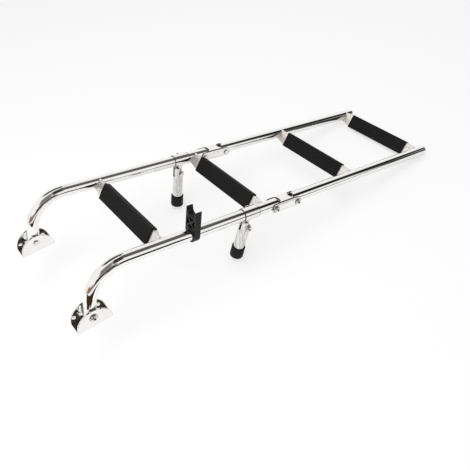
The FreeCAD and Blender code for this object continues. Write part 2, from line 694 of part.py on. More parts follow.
def make_storage_clip(label, side):
    """Plastic clip: a hook round the rail below and an open jaw for the folded rail above."""
    body = new_body(label)
    outside = f"({RAIL_R} + clip_wall)"
    bore = f"({RAIL_R} + clip_play)"
    jaw = f"({RAIL_R} + jaw_play)"
    seat = "(hinge_pitch - 2 * hinge_drop)"
    top = f"{seat} + jaw_rise"
    tip = f"({outside} + {jaw} + jaw_flare) / 2"
    section = new_sketch(body, "YZ_Plane")
    add_outline(section, [
        (f"{outside} * cos(clip_hook_angle)", f"-{outside} * sin(clip_hook_angle)"),
        (f"-{outside}", "0", "0", "0", -1),
        (f"-{outside}", top),
        (f"-{jaw} - jaw_flare", top, f"-({tip})", top, -1),
        (f"-{jaw}", seat),
        (jaw, seat, "0", seat, 1),
        (f"{jaw} + jaw_flare", top),
        (outside, top, tip, top, -1),
        (outside, f"{bore} * sin(clip_back_angle)"),
        (f"{bore} * cos(clip_back_angle)", f"{bore} * sin(clip_back_angle)"),
        (f"{bore} * cos(clip_hook_angle)", f"-{bore} * sin(clip_hook_angle)", "0", "0", 1),
    ])
    pad(body, section, "clip_width")
    middle = f"(({bore} + {seat} - {jaw}) / 2)"
    tall = f"(({seat} - {jaw} - {bore}) / 2 - clip_rib)"
    wide = f"({outside} - clip_rib)"
    for face, reverse in (("clip_width / 2", False), ("-clip_width / 2", True)):
        pockets = new_sketch(body, "YZ_Plane", face)
        for sign in ("", "-"):
            add_outline(pockets, [
                (f"{sign}clip_rib", middle),
                (f"{sign}{wide}", f"{middle} + {tall} - clip_rib"),
                (f"{sign}{wide}", f"{middle} - {tall} + clip_rib"),
            ])
        for sign in ("+", "-"):
            add_outline(pockets, [
                ("0", f"{middle} {sign} clip_rib"),
                (f"{wide} - clip_rib", f"{middle} {sign} {tall}"),
                (f"-{wide} + clip_rib", f"{middle} {sign} {tall}"),
            ])
        cut(body, pockets, "clip_recess", symmetric=False, reverse=reverse)
    body.Placement = on_ladder(value("clip_x"), side * value("rail_spacing / 2"), value("rail_rise"))


for name, side in (("left", 1), ("right", -1)):
    rail_y = side * value("rail_spacing / 2")
    make_upper_rail(f"upper_rail_{name}", side)
    make_lower_rail(f"lower_rail_{name}", side)
    make_end_plug(f"rail_end_plug_{name}", side)
    make_hinge_plug(f"upper_hinge_plug_{name}", side, "hinge_x", 1)
    make_hinge_plug(f"lower_hinge_plug_{name}", side, "hinge_x + hinge_pitch", -1)
    make_hinge_link(f"hinge_link_{name}", side)
    for place, pin_x in (("upper", "hinge_x"), ("lower", "hinge_x + hinge_pitch")):
        make_pin(f"{place}_hinge_pin_{name}", side, HINGE_GRIP, "pin_head",
                 on_ladder(value(pin_x), rail_y, value("rail_rise - hinge_drop")))
    make_bracket(f"deck_bracket_{name}", side)
    make_pin(f"bracket_pin_{name}", side, BRACKET_GRIP, "bracket_pin_head", on_ladder(0, rail_y, 0))
    make_leg_tee(f"leg_tee_{name}", side)
    make_set_screw(f"tee_screw_{name}", side)
    make_leg_tube(f"leg_tube_{name}", side)
    make_leg_cap(f"leg_cap_{name}", side)
    make_pin(f"leg_pin_{name}", side, LEG_GRIP, "pin_head", on_leg(side, 0, -value("leg_drop")))
LAST_TREAD_X = f"overall_length - {RAIL_R} - last_tread_back"
for number, place in enumerate(("tread_one_x", "tread_two_x", "tread_three_x", LAST_TREAD_X), start=1):
    make_tread(f"tread_{number}", place)
    make_tread_pad(f"tread_pad_{number}", place)
make_storage_clip("storage_clip", -1)

doc.recompute()
for item in doc.Objects:
    if "Invalid" in item.State or "Error" in item.State:
        raise RuntimeError(f"{item.Label} did not compute: {item.State}")
for subpart in SUBPARTS:
    if subpart.Shape.isNull() or not subpart.Shape.isValid() or len(subpart.Shape.Solids) != 1:
        raise RuntimeError(f"{subpart.Label} is not one valid solid")
for subpart in SUBPARTS:
    subpart.Shape.exportStep(f"parts/{subpart.Label}.step")
print(f"{len(SUBPARTS)} sub-parts, ladder tilted by {TILT:.3f} degrees")
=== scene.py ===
import json
import math

import bmesh
import bpy
from mathutils import Euler, Matrix, Vector


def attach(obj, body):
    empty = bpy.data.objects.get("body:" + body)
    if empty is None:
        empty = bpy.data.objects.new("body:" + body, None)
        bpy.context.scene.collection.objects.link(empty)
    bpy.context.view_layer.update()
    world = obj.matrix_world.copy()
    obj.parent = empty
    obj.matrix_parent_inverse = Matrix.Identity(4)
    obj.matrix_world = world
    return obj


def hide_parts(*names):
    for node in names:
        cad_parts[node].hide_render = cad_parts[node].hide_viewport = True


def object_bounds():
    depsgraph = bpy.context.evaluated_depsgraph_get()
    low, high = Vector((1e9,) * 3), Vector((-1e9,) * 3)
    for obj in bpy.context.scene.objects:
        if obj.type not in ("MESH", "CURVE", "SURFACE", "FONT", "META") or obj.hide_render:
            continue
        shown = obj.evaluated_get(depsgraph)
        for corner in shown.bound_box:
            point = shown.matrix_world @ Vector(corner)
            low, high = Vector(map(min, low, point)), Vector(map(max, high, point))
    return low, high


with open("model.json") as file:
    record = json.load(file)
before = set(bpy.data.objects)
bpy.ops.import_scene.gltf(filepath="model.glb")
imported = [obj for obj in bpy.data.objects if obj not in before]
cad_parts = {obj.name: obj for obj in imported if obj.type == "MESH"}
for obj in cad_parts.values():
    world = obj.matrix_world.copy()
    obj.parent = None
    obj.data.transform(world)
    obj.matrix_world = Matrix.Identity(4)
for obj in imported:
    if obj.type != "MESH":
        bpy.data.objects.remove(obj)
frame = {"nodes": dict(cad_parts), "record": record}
nodes = frame["nodes"]
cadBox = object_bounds()
scene = bpy.context.scene
print("frame loaded,", len(nodes), "nodes")

# the ladder slopes down to its tips about the bracket pins
ladder = {"tilt": 10.8044, "pinHeight": 0.0205, "railRise": 0.085, "halfWidth": 0.116, "railRadius": 0.011}
floorHeight = cadBox[0][2]  # the lowest point of the tips and feet
ladderFrame = Matrix.Translation((0, 0, ladder["pinHeight"])) @ Matrix.Rotation(math.radians(ladder["tilt"]), 4, "Y")


# shader helpers

def addNode(tree, kind, x, y, **settings):
    node = tree.nodes.new(kind)
    node.location = (x, y)
    for name, setting in settings.items():
        if name in node.inputs:
            node.inputs[name].default_value = setting
        else:
            setattr(node, name, setting)
    return node


def newGroup(name, inputs, outputs):
    group = bpy.data.node_groups.new(name, "ShaderNodeTree")
    for label, kind, start in inputs:
        socket = group.interface.new_socket(label, in_out="INPUT", socket_type=kind)
        if start is not None:
            socket.default_value = start
    for label, kind in outputs:
        group.interface.new_socket(label, in_out="OUTPUT", socket_type=kind)
    into = addNode(group, "NodeGroupInput", -900, 0)
    out = addNode(group, "NodeGroupOutput", 700, 0)
    return group, into, out


def mathNode(tree, operation, x, y, first=None, second=None, third=None):
    node = addNode(tree, "ShaderNodeMath", x, y, operation=operation)
    for place, source in enumerate((first, second, third)):
        if source is None:
            continue
        if hasattr(source, "is_linked"):
            tree.links.new(source, node.inputs[place])
        else:
            node.inputs[place].default_value = source
    return node.outputs[0]


# fine marks drawn along a tube or sheet: uneven polish, hairlines and a few smudges
def makePolishGroup():
    group, into, out = newGroup("unevenPolish", [
        ("Coordinates", "NodeSocketVector", None),
        ("Line Density", "NodeSocketFloat", 900.0),
        ("Smudge Size", "NodeSocketFloat", 18.0),
        ("Base Roughness", "NodeSocketFloat", 0.08),
        ("Line Roughness", "NodeSocketFloat", 0.06),
        ("Smudge Roughness", "NodeSocketFloat", 0.10),
        ("Streak", "NodeSocketFloat", 0.0),
    ], [("Roughness", "NodeSocketFloat"), ("Height", "NodeSocketFloat"), ("Tone", "NodeSocketFloat")])
    link = group.links.new
    stretch = addNode(group, "ShaderNodeVectorMath", -700, 200, operation="MULTIPLY")
    stretch.inputs[1].default_value = (0.02, 1.0, 1.0)
    link(into.outputs["Coordinates"], stretch.inputs[0])
    lines = addNode(group, "ShaderNodeTexNoise", -500, 200, Detail=3.0, Roughness=0.6)
    link(stretch.outputs[0], lines.inputs["Vector"])
    link(into.outputs["Line Density"], lines.inputs["Scale"])
    smudge = addNode(group, "ShaderNodeTexNoise", -500, -100, Detail=4.0, Roughness=0.65, Distortion=0.6)
    link(into.outputs["Coordinates"], smudge.inputs["Vector"])
    link(into.outputs["Smudge Size"], smudge.inputs["Scale"])
    patch = addNode(group, "ShaderNodeMapRange", -300, -100)
    patch.inputs["From Min"].default_value = 0.48
    patch.inputs["From Max"].default_value = 0.72
    link(smudge.outputs[0], patch.inputs["Value"])
    roughLines = mathNode(group, "MULTIPLY_ADD", -100, 200, lines.outputs[0], into.outputs["Line Roughness"], into.outputs["Base Roughness"])
    rough = mathNode(group, "MULTIPLY_ADD", 100, 100, patch.outputs[0], into.outputs["Smudge Roughness"], roughLines)
    link(rough, out.inputs["Roughness"])
    link(lines.outputs[0], out.inputs["Height"])
    band = addNode(group, "ShaderNodeMapRange", -300, -400)
    band.inputs["From Min"].default_value = 0.42
    band.inputs["From Max"].default_value = 0.62
    link(lines.outputs[0], band.inputs["Value"])
    streak = mathNode(group, "MULTIPLY", -100, -400, band.outputs[0], into.outputs["Streak"])
    tone = mathNode(group, "MULTIPLY_ADD", 100, -150, patch.outputs[0], -0.5, 1.0)
    streaked = mathNode(group, "SUBTRACT", 300, -250, tone, streak)
    link(streaked, out.inputs["Tone"])
    return group


# painted line where two faces meet: a painted dark reflection along the steel edges, a painted pale highlight along the
# rubber and plastic edges
def makeEdgeGroup():
    group, into, out = newGroup("edgeMask", [
        ("Width", "NodeSocketFloat", 0.0006),
        ("Gain", "NodeSocketFloat", 3.0),
    ], [("Mask", "NodeSocketFloat")])
    link = group.links.new
    bevel = addNode(group, "ShaderNodeBevel", -600, 0, samples=4)
    link(into.outputs["Width"], bevel.inputs["Radius"])
    geometry = addNode(group, "ShaderNodeNewGeometry", -600, -200)
    dot = addNode(group, "ShaderNodeVectorMath", -400, 0, operation="DOT_PRODUCT")
    link(bevel.outputs[0], dot.inputs[0])
    link(geometry.outputs["Normal"], dot.inputs[1])
    gap = mathNode(group, "SUBTRACT", -200, 0, 1.0, dot.outputs["Value"])
    mask = mathNode(group, "MULTIPLY", 0, 0, gap, into.outputs["Gain"])
    capped = mathNode(group, "MINIMUM", 200, 0, mask, 1.0)
    link(capped, out.inputs["Mask"])
    return group


# painted shade where pieces meet: a mask that darkens the colour where other surfaces lie close
def makePaintedShadeGroup():
    group, into, out = newGroup("paintedShadeMask", [
        ("Reach", "NodeSocketFloat", 0.003),
        ("Open", "NodeSocketFloat", 0.85),
        ("Closed", "NodeSocketFloat", 0.35),
    ], [("Mask", "NodeSocketFloat")])
    link = group.links.new
    shade = addNode(group, "ShaderNodeAmbientOcclusion", -500, 0, samples=8)
    link(into.outputs["Reach"], shade.inputs["Distance"])
    mask = addNode(group, "ShaderNodeMapRange", -100, 0)
    link(shade.outputs["AO"], mask.inputs["Value"])
    link(into.outputs["Open"], mask.inputs["From Min"])
    link(into.outputs["Closed"], mask.inputs["From Max"])
    link(mask.outputs[0], out.inputs["Mask"])
    return group


polishGroup = makePolishGroup()
paintedShadeGroup = makePaintedShadeGroup()
edgeGroup = makeEdgeGroup()


def startMaterial(name, colour, metallic, roughness):
    material = bpy.data.materials.new(name)
    material.use_nodes = True
    tree = material.node_tree
    shader = tree.nodes["Principled BSDF"]
    shader.inputs["Base Color"].default_value = (*colour, 1)
    shader.inputs["Metallic"].default_value = metallic
    shader.inputs["Roughness"].default_value = roughness
    return material, tree, shader


def steelFinish(name, look):
    material, tree, shader = startMaterial(name, look["colour"], 1.0, look["roughness"])
    link = tree.links.new
    place = addNode(tree, "ShaderNodeTexCoord", -1200, 0)
    turn = addNode(tree, "ShaderNodeMapping", -1000, 0)
    turn.inputs["Rotation"].default_value = look["turn"]
    link(place.outputs["Object"], turn.inputs["Vector"])
    polish = addNode(tree, "ShaderNodeGroup", -750, 0, node_tree=polishGroup)
    polish.inputs["Line Density"].default_value = look["lineDensity"]
    polish.inputs["Smudge Size"].default_value = look["smudgeSize"]
    polish.inputs["Base Roughness"].default_value = look["roughness"]
    polish.inputs["Line Roughness"].default_value = look["lineRoughness"]
    polish.inputs["Smudge Roughness"].default_value = look["smudgeRoughness"]
    polish.inputs["Streak"].default_value = look.get("streak", 0.0)
    link(turn.outputs[0], polish.inputs["Coordinates"])
    link(polish.outputs["Roughness"], shader.inputs["Roughness"])
    tint = addNode(tree, "ShaderNodeMix", -300, 250, data_type="RGBA")
    tint.inputs["A"].default_value = (*look["dull"], 1)
    tint.inputs["B"].default_value = (*look["colour"], 1)
    link(polish.outputs["Tone"], tint.inputs["Factor"])
    # painted reflection: a dark line along every edge of the steel, as a rounded edge would mirror the dark room
    edge = addNode(tree, "ShaderNodeGroup", -550, 500, node_tree=edgeGroup)
    edge.inputs["Width"].default_value = look["edgeWidth"]
    edge.inputs["Gain"].default_value = look["edgeGain"]
    outlined = addNode(tree, "ShaderNodeMix", -150, 400, data_type="RGBA")
    outlined.inputs["B"].default_value = (*look["edge"], 1)
    link(tint.outputs["Result"], outlined.inputs["A"])
    # painted shade: the colour is pulled towards the dark edge tint where another piece lies close
    paintedShade = addNode(tree, "ShaderNodeGroup", -550, 700, node_tree=paintedShadeGroup)
    paintedShade.inputs["Reach"].default_value = look["paintedShadeReach"]
    paintedShadeAmount = mathNode(tree, "MULTIPLY", -350, 600, paintedShade.outputs["Mask"], look["paintedShadeStrength"])
    paintedEdgeAndShade = mathNode(tree, "MAXIMUM", -250, 550, edge.outputs["Mask"], paintedShadeAmount)
    link(paintedEdgeAndShade, outlined.inputs["Factor"])
    link(outlined.outputs["Result"], shader.inputs["Base Color"])
    rounding = addNode(tree, "ShaderNodeBevel", -550, -400, samples=4)
    rounding.inputs["Radius"].default_value = look["rounding"]
    bump = addNode(tree, "ShaderNodeBump", -300, -250)
    link(rounding.outputs[0], bump.inputs["Normal"])
    bump.inputs["Strength"].default_value = look["bump"]
    bump.inputs["Distance"].default_value = 0.0001
    link(polish.outputs["Height"], bump.inputs["Height"])
    link(bump.outputs[0], shader.inputs["Normal"])
    return material


tiltTurn = (0, math.radians(-ladder["tilt"]), 0)
# in each look, edge is the tint of the painted dark reflection along the edges and of the painted shade where pieces
# meet
steelLooks = {
    "polishedTube": {"colour": (0.90, 0.895, 0.88), "dull": (0.80, 0.79, 0.77), "roughness": 0.022, "turn": tiltTurn,
                     "lineDensity": 700, "smudgeSize": 26, "lineRoughness": 0.03, "smudgeRoughness": 0.04, "bump": 0.03,
                     "edge": (0.15, 0.14, 0.13), "edgeWidth": 0.0008, "edgeGain": 3.0, "rounding": 0.0004,
                     "paintedShadeReach": 0.004, "paintedShadeStrength": 0.9},
    "legTube": {"colour": (0.90, 0.885, 0.86), "dull": (0.52, 0.50, 0.47), "roughness": 0.08, "turn": (0, math.radians(90 - ladder["tilt"]), 0),
                "lineDensity": 230, "smudgeSize": 70, "lineRoughness": 0.12, "smudgeRoughness": 0.10, "bump": 0.30, "streak": 0.8,
                "edge": (0.12, 0.11, 0.10), "edgeWidth": 0.0010, "edgeGain": 3.5, "rounding": 0.0006,
                     "paintedShadeReach": 0.003, "paintedShadeStrength": 0.6},
    "sheetSteel": {"colour": (0.86, 0.85, 0.835), "dull": (0.72, 0.71, 0.69), "roughness": 0.04, "turn": (0, 0, 0),
                   "lineDensity": 500, "smudgeSize": 60, "lineRoughness": 0.05, "smudgeRoughness": 0.08, "bump": 0.05,
                   "edge": (0.10, 0.09, 0.08), "edgeWidth": 0.0012, "edgeGain": 3.5, "rounding": 0.0006,
                     "paintedShadeReach": 0.004, "paintedShadeStrength": 0.9},
    "linkSteel": {"colour": (0.91, 0.90, 0.885), "dull": (0.70, 0.69, 0.67), "roughness": 0.05, "turn": tiltTurn,
                  "lineDensity": 500, "smudgeSize": 90, "lineRoughness": 0.05, "smudgeRoughness": 0.08, "bump": 0.06,
                  "edge": (0.035, 0.032, 0.030), "edgeWidth": 0.0020, "edgeGain": 12.0, "rounding": 0.0008,
                  "paintedShadeReach": 0.005, "paintedShadeStrength": 0.95},
    "sleeveSteel": {"colour": (0.88, 0.87, 0.855), "dull": (0.70, 0.69, 0.67), "roughness": 0.05, "turn": tiltTurn,
                    "lineDensity": 500, "smudgeSize": 90, "lineRoughness": 0.05, "smudgeRoughness": 0.08, "bump": 0.06,
                    "edge": (0.03, 0.028, 0.026), "edgeWidth": 0.0026, "edgeGain": 22.0, "rounding": 0.0006,
                    "paintedShadeReach": 0.006, "paintedShadeStrength": 0.95},
    "treadSteel": {"colour": (0.90, 0.875, 0.835), "dull": (0.56, 0.52, 0.47), "roughness": 0.22, "turn": (0, 0, math.radians(90)),
                   "lineDensity": 350, "smudgeSize": 240, "lineRoughness": 0.18, "smudgeRoughness": 0.16, "bump": 0.30, "streak": 0.35,
                   "edge": (0.35, 0.33, 0.30), "edgeWidth": 0.0006, "edgeGain": 1.5, "rounding": 0.0004,
                     "paintedShadeReach": 0.004, "paintedShadeStrength": 0.9},
    "fastenerSteel": {"colour": (0.80, 0.79, 0.77), "dull": (0.58, 0.57, 0.55), "roughness": 0.07, "turn": (0, 0, 0),
                      "lineDensity": 900, "smudgeSize": 180, "lineRoughness": 0.05, "smudgeRoughness": 0.08, "bump": 0.04,
                      "edge": (0.06, 0.055, 0.05), "edgeWidth": 0.0010, "edgeGain": 4.5, "rounding": 0.0005,
                     "paintedShadeReach": 0.004, "paintedShadeStrength": 0.9},
    "plugSteel": {"colour": (0.60, 0.59, 0.57), "dull": (0.42, 0.41, 0.39), "roughness": 0.30, "turn": tiltTurn,
                  "lineDensity": 800, "smudgeSize": 120, "lineRoughness": 0.12, "smudgeRoughness": 0.10, "bump": 0.08,
                  "edge": (0.20, 0.19, 0.18), "edgeWidth": 0.0006, "edgeGain": 2.0, "rounding": 0.0004,
                     "paintedShadeReach": 0.004, "paintedShadeStrength": 0.9},
    "weldSteel": {"colour": (0.86, 0.85, 0.82), "dull": (0.40, 0.36, 0.32), "roughness": 0.20, "turn": (0, 0, 0),
                  "lineDensity": 1400, "smudgeSize": 320, "lineRoughness": 0.12, "smudgeRoughness": 0.20, "bump": 0.25,
                  "edge": (0.30, 0.27, 0.24), "edgeWidth": 0.0004, "edgeGain": 1.0, "rounding": 0.0002,
                     "paintedShadeReach": 0.004, "paintedShadeStrength": 0.9},
}
finishes = {name: steelFinish(name, look) for name, look in steelLooks.items()}


def darkFinish(name, look):
    material, tree, shader = startMaterial(name, look["colour"], 0.0, look["roughness"])
    link = tree.links.new
    shader.inputs["Specular IOR Level"].default_value = look["specular"]
    place = addNode(tree, "ShaderNodeTexCoord", -1200, 0)
    grain = addNode(tree, "ShaderNodeTexNoise", -900, 200, Scale=look["grainScale"], Detail=5.0, Roughness=0.7)
    link(place.outputs["Object"], grain.inputs["Vector"])
    cloud = addNode(tree, "ShaderNodeTexNoise", -900, -100, Scale=look["cloudScale"], Detail=3.0, Roughness=0.6)
    link(place.outputs["Object"], cloud.inputs["Vector"])
    # painted highlight: a paler line along each edge of the rubber and plastic
    edge = addNode(tree, "ShaderNodeGroup", -900, -350, node_tree=edgeGroup)
    edge.inputs["Width"].default_value = look["edgeWidth"]
    edge.inputs["Gain"].default_value = look["edgeGain"]
    shade = addNode(tree, "ShaderNodeMix", -600, 100, data_type="RGBA")
    shade.inputs["A"].default_value = (*look["colour"], 1)
    shade.inputs["B"].default_value = (*look["dusty"], 1)
    link(cloud.outputs[0], shade.inputs["Factor"])
    paintedEdgeHighlight = addNode(tree, "ShaderNodeMix", -350, 100, data_type="RGBA")
    paintedEdgeHighlight.inputs["B"].default_value = (*look["edge"], 1)
    link(shade.outputs["Result"], paintedEdgeHighlight.inputs["A"])
    link(edge.outputs["Mask"], paintedEdgeHighlight.inputs["Factor"])
    link(paintedEdgeHighlight.outputs["Result"], shader.inputs["Base Color"])
    rough = mathNode(tree, "MULTIPLY_ADD", -350, -100, cloud.outputs[0], look["roughSpread"], look["roughness"])
    link(rough, shader.inputs["Roughness"])
    bump = addNode(tree, "ShaderNodeBump", -350, -350)
    bump.inputs["Strength"].default_value = look["bump"]
    bump.inputs["Distance"].default_value = 0.0002
    link(grain.outputs[0], bump.inputs["Height"])
    link(bump.outputs[0], shader.inputs["Normal"])
    return material


# in each look, edge is the tint of the painted highlight along the edges
darkLooks = {
    "padRubber": {"colour": (0.005, 0.005, 0.005), "dusty": (0.012, 0.012, 0.0115), "edge": (0.022, 0.022, 0.022), "roughness": 0.50,
                  "specular": 0.12, "grainScale": 2600, "cloudScale": 40, "edgeWidth": 0.0006, "edgeGain": 1.5, "roughSpread": 0.15, "bump": 0.25},
    "capRubber": {"colour": (0.006, 0.0065, 0.006), "dusty": (0.012, 0.013, 0.012), "edge": (0.024, 0.024, 0.024), "roughness": 0.46,
                  "specular": 0.15, "grainScale": 2200, "cloudScale": 90, "edgeWidth": 0.0008, "edgeGain": 1.5, "roughSpread": 0.15, "bump": 0.25},
    "clipPlastic": {"colour": (0.004, 0.004, 0.004), "dusty": (0.009, 0.009, 0.009), "edge": (0.040, 0.040, 0.040), "roughness": 0.30,
                    "specular": 0.20, "grainScale": 3000, "cloudScale": 120, "edgeWidth": 0.0006, "edgeGain": 2.5, "roughSpread": 0.12, "bump": 0.12},
}
finishes.update({name: darkFinish(name, look) for name, look in darkLooks.items()})

slotFinish = {"polished_tube": "polishedTube", "sheet_steel": "sheetSteel", "tread_steel": "treadSteel", "fastener_steel": "fastenerSteel",
              "plug_steel": "plugSteel", "black_rubber": "padRubber", "clip_plastic": "clipPlastic"}
ownFinish = {start + side: finish for side in ("left", "right") for start, finish in
             (("leg_cap_", "capRubber"), ("leg_tube_", "legTube"), ("leg_tee_", "sleeveSteel"), ("hinge_link_", "linkSteel"))}
for entry in frame["record"]["subparts"]:
    finish = ownFinish.get(entry["node"], slotFinish[entry["material_slot"]])
    mesh = nodes[entry["node"]].data
    mesh.materials.clear()
    mesh.materials.append(finishes[finish])
print("finishes on the nodes")


# new pieces

def newPiece(name, form, place, finish, body):
    bmesh.ops.transform(form, matrix=place, verts=form.verts)
    bmesh.ops.recalc_face_normals(form, faces=form.faces)
    mesh = bpy.data.meshes.new(name)
    form.to_mesh(mesh)
    form.free()
    mesh.materials.append(finishes[finish])
    piece = bpy.data.objects.new(name, mesh)
    scene.collection.objects.link(piece)
    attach(piece, body)
    return piece


def roundEdges(form, edges, width, segments):
    return bmesh.ops.bevel(form, geom=edges, offset=width, offset_type="OFFSET", affect="EDGES", segments=segments,
                           profile=0.5, material=-1)


tread = {"places": (0.1305, 0.3522, 0.6023, 0.8306), "tilt": 26.0, "drop": 0.0019, "width": 0.0286,
         "endHalf": 0.009, "endDepth": 0.005}
treadBody = ("upper_section", "upper_section", "lower_section", "lower_section")


# along the face upwards, to the left rail, out of the face
def treadFrame(place):
    centre = Matrix.Translation((place, 0, ladder["railRise"] - tread["drop"]))
    return ladderFrame @ centre @ Matrix.Rotation(math.radians(tread["tilt"] - 90), 4, "Y")


# rubber covers with fine grooves along the face and a lip round each edge
pad = {"length": 0.1686, "face": 0.003, "lip": 0.002, "wrap": 0.009, "play": 0.0001, "edge": 0.0012,
       "ribs": 9, "grooveDepth": 0.0005, "grooveSide": 0.0001}


def makePad(number, place, body):
    form = bmesh.new()
    inner = tread["width"] / 2 + pad["play"]
    outer = inner + pad["lip"]
    outline = [(-outer, pad["face"]), (-outer, -pad["wrap"]), (-inner, -pad["wrap"]), (-inner, pad["play"]),
               (inner, pad["play"]), (inner, -pad["wrap"]), (outer, -pad["wrap"]), (outer, pad["face"])]
    section = form.faces.new([form.verts.new((along, -pad["length"] / 2, out)) for along, out in outline])
    grown = bmesh.ops.extrude_face_region(form, geom=[section])
    ends = [part for part in grown["geom"] if isinstance(part, bmesh.types.BMVert)]
    bmesh.ops.translate(form, verts=ends, vec=(0, pad["length"], 0))
    bmesh.ops.recalc_face_normals(form, faces=form.faces)
    shoulders = [edge for edge in form.edges
                 if edge.calc_length() > 0.1 and all(vert.co.z > pad["face"] - 1e-5 for vert in edge.verts)]
    roundEdges(form, shoulders, pad["edge"], 3)
    face = max((f for f in form.faces if f.normal.z > 0.9), key=lambda f: f.calc_area())
    across = [edge for edge in face.edges if edge.calc_length() < 0.1]
    bmesh.ops.subdivide_edges(form, edges=across, cuts=2 * pad["ribs"], use_grid_fill=True)
    strips = sorted((f for f in form.faces if f.normal.z > 0.99 and f.calc_center_median().z > pad["face"] - 1e-5),
                    key=lambda f: f.calc_center_median().x)
    bmesh.ops.inset_individual(form, faces=strips[1::2], thickness=pad["grooveSide"], depth=-pad["grooveDepth"])
    piece = newPiece(f"padCover{number}", form, treadFrame(place), "padRubber", body)
    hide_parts(f"tread_pad_{number}")


for number, (place, body) in enumerate(zip(tread["places"], treadBody), start=1):
    makePad(number, place, body)
print("pads made")


# rippled weld beads where the treads meet the rails
weld = {"radius": 0.0015, "ripple": 0.45, "steps": 26, "sunk": 0.0003}


def makeWelds(number, place, body):
    shape = bpy.data.curves.new(f"weldBeads{number}", "CURVE")
    shape.dimensions = "3D"
    shape.bevel_depth = weld["radius"]
    shape.bevel_resolution = 3
    shape.use_fill_caps = True
    lean = math.radians(tread["tilt"])
    for side in (-1, 1):
        spline = shape.splines.new("POLY")
        spline.points.add(weld["steps"] - 1)
        for step, point in enumerate(spline.points):
            run = (tread["endHalf"] * 2 + tread["endDepth"]) * step / (weld["steps"] - 1)
            along = min(run, tread["endHalf"] * 2) - tread["endHalf"]
            out = -max(run - tread["endHalf"] * 2, 0)
            height = along * math.cos(lean) + out * math.sin(lean) - tread["drop"]
            reach = ladder["railRadius"] - weld["sunk"]
            across = ladder["halfWidth"] - math.sqrt(max(reach ** 2 - height ** 2, 0))
            point.co = (*(treadFrame(place) @ Vector((along, side * across, out))), 1)
            point.radius = 1 + weld["ripple"] * math.sin(2.4 * step + 0.7 * side + number) * math.sin(0.9 * step)
    beads = bpy.data.objects.new(shape.name, shape)
    scene.collection.objects.link(beads)
    shape.materials.append(finishes["weldSteel"])
    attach(beads, body)


for number, (place, body) in enumerate(zip(tread["places"], treadBody), start=1):
    makeWelds(number, place, body)
print("welds made")


# rubber feet: a turned cup with a bead round its mouth
foot = {"pinX": 0.3215, "pinDrop": 0.0296, "length": 0.0814, "lean": 9.5, "radius": 0.0135, "mouth": 0.0111, "height": 0.025,
        "floor": 0.004, "edge": 0.0022, "bead": 0.0007, "draft": 0.0004, "turns": 64}


def makeFoot(side, sign, lean):
    form = bmesh.new()
    top = foot["height"]
    outline = [(0, 0), (foot["radius"] - foot["edge"], 0), (foot["radius"] - foot["edge"] * 0.29, foot["edge"] * 0.29),
               (foot["radius"], foot["edge"]), (foot["radius"] - foot["draft"], top - 0.0032), (foot["radius"] - foot["draft"] - 0.0004, top - 0.0026),
               (foot["radius"] - foot["draft"] - 0.0001, top - 0.0020), (foot["radius"] - 0.0001, top - 0.0016), (foot["radius"], top - 0.0010),
               (foot["radius"] - 0.0003, top - 0.0003), (foot["radius"] - 0.0010, top), (foot["mouth"] + 0.0004, top),
               (foot["mouth"], top - 0.0004), (foot["mouth"], foot["floor"]), (0, foot["floor"])]
    points = [form.verts.new((radius, 0, height)) for radius, height in outline]
    edges = [form.edges.new(pair) for pair in zip(points, points[1:])]
    bmesh.ops.spin(form, geom=points + edges, cent=(0, 0, 0), axis=(0, 0, 1), dvec=(0, 0, 0), angle=math.tau,
                   steps=foot["turns"], use_merge=True, use_duplicate=False)
    bmesh.ops.remove_doubles(form, verts=form.verts, dist=1e-6)
    rail = Matrix.Translation((foot["pinX"], sign * ladder["halfWidth"], ladder["railRise"]))
    drop = Matrix.Translation((0, 0, -foot["pinDrop"] - foot["length"]))
    place = ladderFrame @ rail @ Matrix.Rotation(math.radians(lean), 4, "X") @ drop
    for face in form.faces:
        face.smooth = True
    piece = newPiece(f"footCup{side}", form, place, "capRubber", f"{side.lower()}_leg")
    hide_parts(f"leg_cap_{side.lower()}")


makeFoot("Left", 1, 0)
makeFoot("Right", -1, foot["lean"])
print("feet made")


# floor, world, lamps, camera

studio = {"floorSize": 14.0, "floorTone": 0.86, "worldTone": 0.74, "whiteShare": 0.62, "mirrorShare": 0.08}


def makeFloor():
    form = bmesh.new()
    bmesh.ops.create_grid(form, x_segments=1, y_segments=1, size=studio["floorSize"] / 2)
    bmesh.ops.translate(form, verts=form.verts, vec=(0.45, 0, floorHeight - 0.0002))
    mesh = bpy.data.meshes.new("floor")
    form.to_mesh(mesh)
    form.free()
    floor = bpy.data.objects.new("floor", mesh)
    scene.collection.objects.link(floor)
    material, tree, shader = startMaterial("paleFloor", (studio["floorTone"],) * 3, 0.0, 0.6)
    shader.inputs["Specular IOR Level"].default_value = 0.1
    mesh.materials.append(material)
    link = tree.links.new
    glow = addNode(tree, "ShaderNodeEmission", 100, 200, Strength=1.0)
    path = addNode(tree, "ShaderNodeLightPath", -500, 400)
    mirrored = mathNode(tree, "MULTIPLY", -300, 300, path.outputs["Is Glossy Ray"], studio["mirrorShare"])
    share = mathNode(tree, "MULTIPLY_ADD", -50, 400, path.outputs["Is Camera Ray"], studio["whiteShare"], mirrored)
    blend = addNode(tree, "ShaderNodeMixShader", 350, 100)
    link(share, blend.inputs[0])
    link(shader.outputs[0], blend.inputs[1])
    link(glow.outputs[0], blend.inputs[2])
    link(blend.outputs[0], tree.nodes["Material Output"].inputs[0])


# low brown cards beside the brackets, seen only in the polished steel
def makeCard(name, low, high, tone):
    form = bmesh.new()
    bmesh.ops.create_grid(form, x_segments=1, y_segments=1, size=0.5)
    bmesh.ops.scale(form, verts=form.verts, vec=(high[0] - low[0], high[1] - low[1], 1))
    bmesh.ops.translate(form, verts=form.verts, vec=((high[0] + low[0]) / 2, (high[1] + low[1]) / 2, floorHeight + 0.001))
    finishCard(name, form, tone)


